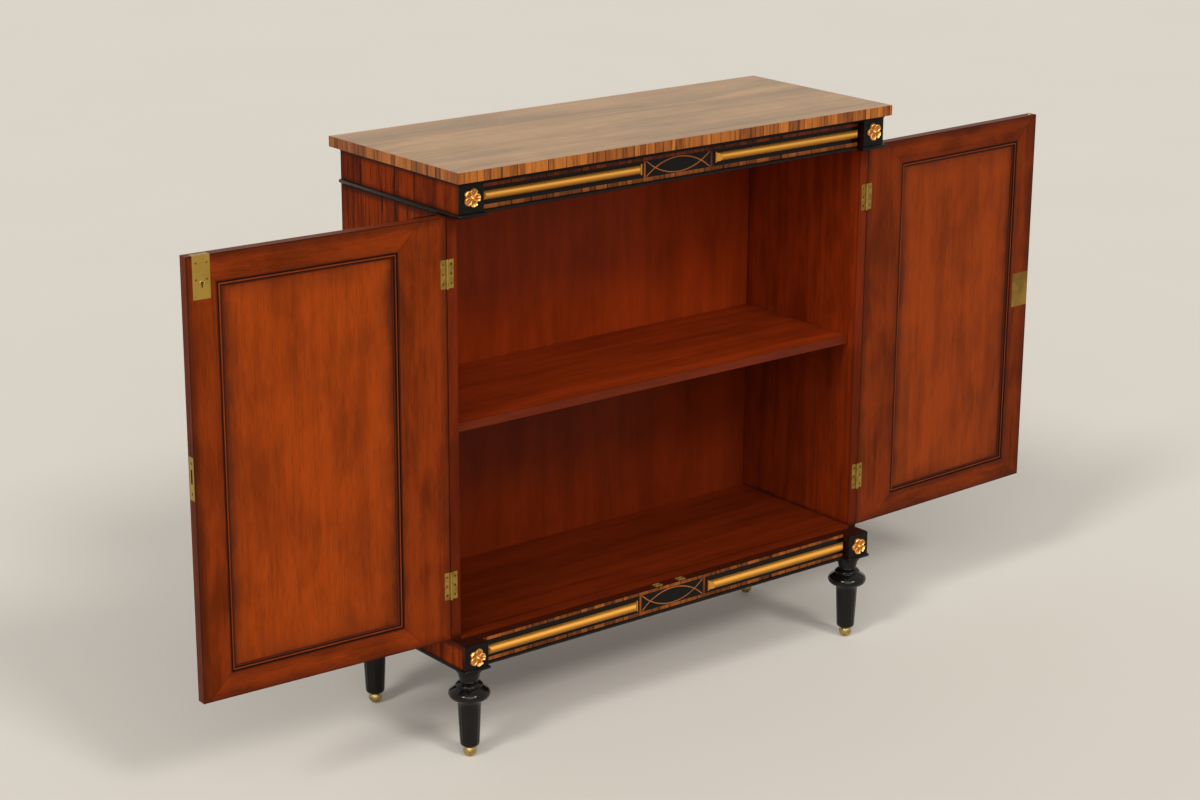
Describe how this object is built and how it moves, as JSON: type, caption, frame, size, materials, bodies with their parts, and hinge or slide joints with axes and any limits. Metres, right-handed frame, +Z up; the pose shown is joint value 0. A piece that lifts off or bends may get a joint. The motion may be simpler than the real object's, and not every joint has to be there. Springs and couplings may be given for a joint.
{
  "type": "two-door low cabinet",
  "caption": "Low cabinet on turned legs with two mirrored doors, a loose shelf, gilt rods and rosettes on black grounds; the doors stand open.",
  "frame": {"origin": "on the floor under the middle of the top board, which is the middle of the whole bounding box with the doors open", "axes": "+X to the right along the front, +Y to the back, +Z up"},
  "size_m": [1.9758, 0.397, 1.085],
  "materials": {
    "top_rosewood": "satin veneer, grey-brown figure running left to right",
    "edge_rosewood": "satin crossbanded veneer",
    "side_rosewood": "satin veneer with dark vertical figure",
    "mahogany": "satin, shaded darker towards its edges",
    "panel_mahogany": "satin, lighter in the middle",
    "ebonised": "black, polished",
    "gilt": "gilded wood, satin",
    "brass": "aged brass",
    "mirror": "silvered glass",
    "back_wood": "stained back"
  },
  "bodies": {
    "cabinet": {"top_board": "top_rosewood", "top_banding": "edge_rosewood", "top_cove": "ebonised", "side_panel_left": "side_rosewood", "side_panel_right": "side_rosewood", "back_panel": "back_wood", "ceiling_board": "mahogany", "bottom_board": "mahogany", "shelf": "mahogany", "shelf_pegs": "brass", "frieze_rail": "mahogany", "plinth_front_rail": "mahogany", "plinth_rails": "side_rosewood", "frieze_ground": "ebonised", "plinth_ground": "ebonised", "rail_bandings": "edge_rosewood", "middle_plaques": "ebonised", "plaque_stringing": "gilt", "rail_rods": "gilt", "frieze_bead": "ebonised", "plinth_bead": "ebonised", "corner_blocks": "side_rosewood", "block_faces": "ebonised", "rosettes": "gilt", "legs": "ebonised", "ball_feet": "brass", "cabinet_strikes": "brass", "cabinet_hinge_leaves": "brass", "hinge_pins": "brass", "cabinet_screws": "brass"},
    "left_door": {"left_door_frame": "mahogany", "left_door_panel": "panel_mahogany", "left_door_moulding": "mahogany", "left_door_mirror": "mirror", "left_mirror_frame": "gilt", "left_pilaster": "ebonised", "left_pilaster_rod": "gilt", "left_hinge_leaves": "brass", "left_door_screws": "brass", "left_catch_sleeves": "brass", "left_lock_case": "brass", "left_edge_strike": "brass"},
    "right_door": {"right_door_frame": "mahogany", "right_door_panel": "panel_mahogany", "right_door_moulding": "mahogany", "right_door_mirror": "mirror", "right_mirror_frame": "gilt", "right_pilaster": "ebonised", "right_pilaster_rod": "gilt", "right_hinge_leaves": "brass", "right_door_screws": "brass", "right_catch_sleeves": "brass", "right_lock_case": "brass", "right_escutcheon": "brass"},
    "left_lock_bolt": {"left_lock_bolt": "brass"},
    "right_lock_bolt": {"right_lock_bolt": "brass"},
    "left_catch_plunger": {"left_catch_plunger": "brass"},
    "right_catch_plunger": {"right_catch_plunger": "brass"},
    "right_bullet": {"right_bullet": "brass"}
  },
  "joints": [
    {"name": "left_door_swing", "type": "hinge", "parent": "cabinet", "child": "left_door", "pos_m": [-0.4947, -0.1486, 0.6158], "axis": [0, 0, 1], "range_deg": [0, 182.5]},
    {"name": "right_door_swing", "type": "hinge", "parent": "cabinet", "child": "right_door", "pos_m": [0.4947, -0.1486, 0.6158], "axis": [0, 0, 1], "range_deg": [-182.5, 0]},
    {"name": "left_bolt_throw", "type": "slide", "parent": "left_door", "child": "left_lock_bolt", "axis": [0, 0, 1], "range_m": [0, 0.01]},
    {"name": "right_bolt_throw", "type": "slide", "parent": "right_door", "child": "right_lock_bolt", "axis": [0.999, 0.0436, 0], "range_m": [0, 0.01]},
    {"name": "left_catch_press", "type": "slide", "parent": "left_door", "child": "left_catch_plunger", "axis": [0, 0, 1], "range_m": [0, 0.0026], "stiffness_N_per_m": 900, "springref_m": -0.002},
    {"name": "right_catch_press", "type": "slide", "parent": "right_door", "child": "right_catch_plunger", "axis": [0, 0, 1], "range_m": [0, 0.0026], "stiffness_N_per_m": 900, "springref_m": -0.002},
    {"name": "right_bullet_press", "type": "slide", "parent": "right_door", "child": "right_bullet", "axis": [0, 0, -1], "range_m": [0, 0.0024], "stiffness_N_per_m": 900, "springref_m": -0.002}
  ]
}
